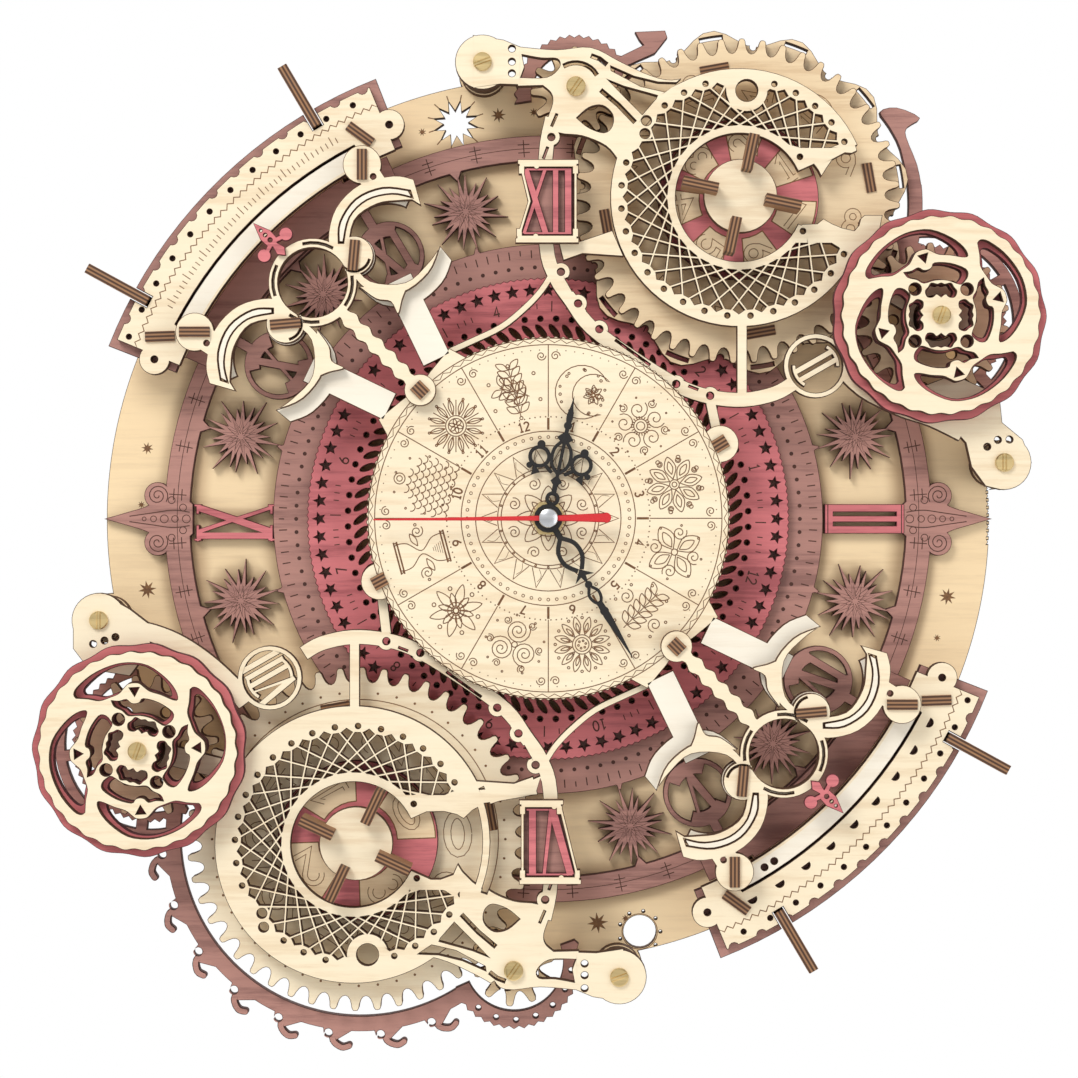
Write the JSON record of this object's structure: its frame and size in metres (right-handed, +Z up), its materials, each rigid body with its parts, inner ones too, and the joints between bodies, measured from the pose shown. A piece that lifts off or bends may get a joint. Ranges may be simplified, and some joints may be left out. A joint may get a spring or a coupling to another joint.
{
  "type": "wooden gear wall clock",
  "caption": "Laser-cut plywood wall clock with quartz hands, month and date gears turned by two handwheels, curved plaques and layered rings.",
  "frame": {"origin": "on the dial's axis at the back board's back face, which lies on the wall", "axes": "+X right and +Z up as seen from the front, +Y out of the back into the wall"},
  "size_m": [0.2934, 0.0386, 0.3037],
  "materials": {
    "birch": "laser-cut birch plywood, tan, burnt edges",
    "cream_birch": "pale birch plywood, laser cut and engraved",
    "white_birch": "whitened birch plywood",
    "mauve_ply": "mauve-brown stained plywood",
    "pink_ply": "pink-red stained plywood",
    "red_ply": "red stained plywood",
    "brass": "satin brass screws",
    "black_metal": "matt black hands",
    "red_metal": "red second hand",
    "movement_plastic": "black plastic case",
    "battery_can": "plain dark battery shell"
  },
  "bodies": {
    "root": {"back_board": "mauve_ply", "base_disc": "birch", "numeral_frame": "mauve_ply", "numeral_three": "pink_ply", "numeral_nine": "pink_ply", "numeral_twelve": "cream_birch", "numeral_six": "cream_birch", "upper_gear_guard": "mauve_ply", "lower_gear_guard": "mauve_ply", "dial": "cream_birch", "dial_cradle": "birch", "quartz_movement": "movement_plastic", "battery": "battery_can", "arbor_nut": "brass", "upper_gear_axle": "birch", "upper_idler_screw": "brass", "upper_wheel_screw": "brass", "upper_frame": "cream_birch", "upper_inner_riser": "birch", "upper_outer_riser": "birch", "lower_gear_axle": "birch", "lower_idler_screw": "brass", "lower_wheel_screw": "brass", "lower_frame": "cream_birch", "lower_inner_riser": "birch", "lower_outer_riser": "birch", "upper_left_plaque_backing": "mauve_ply", "upper_left_plaque": "cream_birch", "upper_left_peg_board_1": "birch", "upper_left_peg_board_2": "birch", "upper_left_bracket": "cream_birch", "upper_left_bracket_backing": "white_birch", "upper_left_pointer": "pink_ply", "lower_right_plaque_backing": "mauve_ply", "lower_right_plaque": "cream_birch", "lower_right_peg_board_1": "birch", "lower_right_peg_board_2": "birch", "lower_right_bracket": "cream_birch", "lower_right_bracket_backing": "white_birch", "lower_right_pointer": "pink_ply"},
    "month_ring": {"month_ring": "pink_ply"},
    "hour_hand": {"hour_hand": "black_metal"},
    "minute_hand": {"minute_hand": "black_metal"},
    "second_hand": {"second_hand": "red_metal"},
    "month_wheel": {"month_gear": "birch", "month_cam": "birch"},
    "upper_idler": {"upper_idler": "birch"},
    "upper_handwheel": {"upper_wheel_face": "cream_birch", "upper_wheel_rim": "red_ply", "upper_pinion": "birch"},
    "weekday_dial": {"weekday_disc": "pink_ply", "weekday_knob": "birch"},
    "date_wheel": {"date_gear": "birch"},
    "lower_idler": {"lower_idler": "birch"},
    "lower_handwheel": {"lower_wheel_face": "cream_birch", "lower_wheel_rim": "red_ply", "lower_pinion": "birch"},
    "tens_dial": {"tens_disc": "pink_ply", "tens_knob": "birch"}
  },
  "joints": [
    {"name": "month_ring_turn", "type": "hinge", "parent": "root", "child": "month_ring", "pos_m": [0, -0.0098, 0], "axis": [0, 1, 0], "continuous": true},
    {"name": "minute_hand_turn", "type": "hinge", "parent": "root", "child": "minute_hand", "pos_m": [0, -0.0342, 0], "axis": [0, 1, 0], "continuous": true},
    {"name": "hour_hand_turn", "type": "hinge", "parent": "root", "child": "hour_hand", "pos_m": [0, -0.0317, 0], "axis": [0, 1, 0], "continuous": true},
    {"name": "second_hand_turn", "type": "hinge", "parent": "root", "child": "second_hand", "pos_m": [0, -0.036, 0], "axis": [0, 1, 0], "continuous": true},
    {"name": "month_wheel_turn", "type": "hinge", "parent": "root", "child": "month_wheel", "pos_m": [0.0558, -0.0166, 0.0936], "axis": [0, 1, 0], "continuous": true},
    {"name": "upper_handwheel_turn", "type": "hinge", "parent": "root", "child": "upper_handwheel", "pos_m": [0.11306, -0.0166, 0.05845], "axis": [0, 1, 0], "continuous": true},
    {"name": "upper_idler_turn", "type": "hinge", "parent": "root", "child": "upper_idler", "pos_m": [0.00805, -0.0166, 0.12587], "axis": [0, 1, 0], "continuous": true},
    {"name": "weekday_dial_turn", "type": "hinge", "parent": "root", "child": "weekday_dial", "pos_m": [0.0558, -0.0202, 0.0936], "axis": [0, 1, 0], "continuous": true},
    {"name": "date_wheel_turn", "type": "hinge", "parent": "root", "child": "date_wheel", "pos_m": [-0.0558, -0.0166, -0.0944], "axis": [0, 1, 0], "continuous": true},
    {"name": "lower_handwheel_turn", "type": "hinge", "parent": "root", "child": "lower_handwheel", "pos_m": [-0.1183, -0.0166, -0.067], "axis": [0, 1, 0], "continuous": true},
    {"name": "lower_idler_turn", "type": "hinge", "parent": "root", "child": "lower_idler", "pos_m": [-0.01013, -0.0166, -0.13177], "axis": [0, 1, 0], "continuous": true},
    {"name": "tens_dial_turn", "type": "hinge", "parent": "root", "child": "tens_dial", "pos_m": [-0.0558, -0.0202, -0.0944], "axis": [0, 1, 0], "continuous": true}
  ],
  "couplings": [
    {"joint": "hour_hand_turn", "follows": "minute_hand_turn", "ratio": 0.083333},
    {"joint": "upper_handwheel_turn", "follows": "month_wheel_turn", "ratio": -2.1818},
    {"joint": "upper_idler_turn", "follows": "month_wheel_turn", "ratio": -4},
    {"joint": "lower_handwheel_turn", "follows": "date_wheel_turn", "ratio": -2.5263},
    {"joint": "lower_idler_turn", "follows": "date_wheel_turn", "ratio": -4.8}
  ]
}
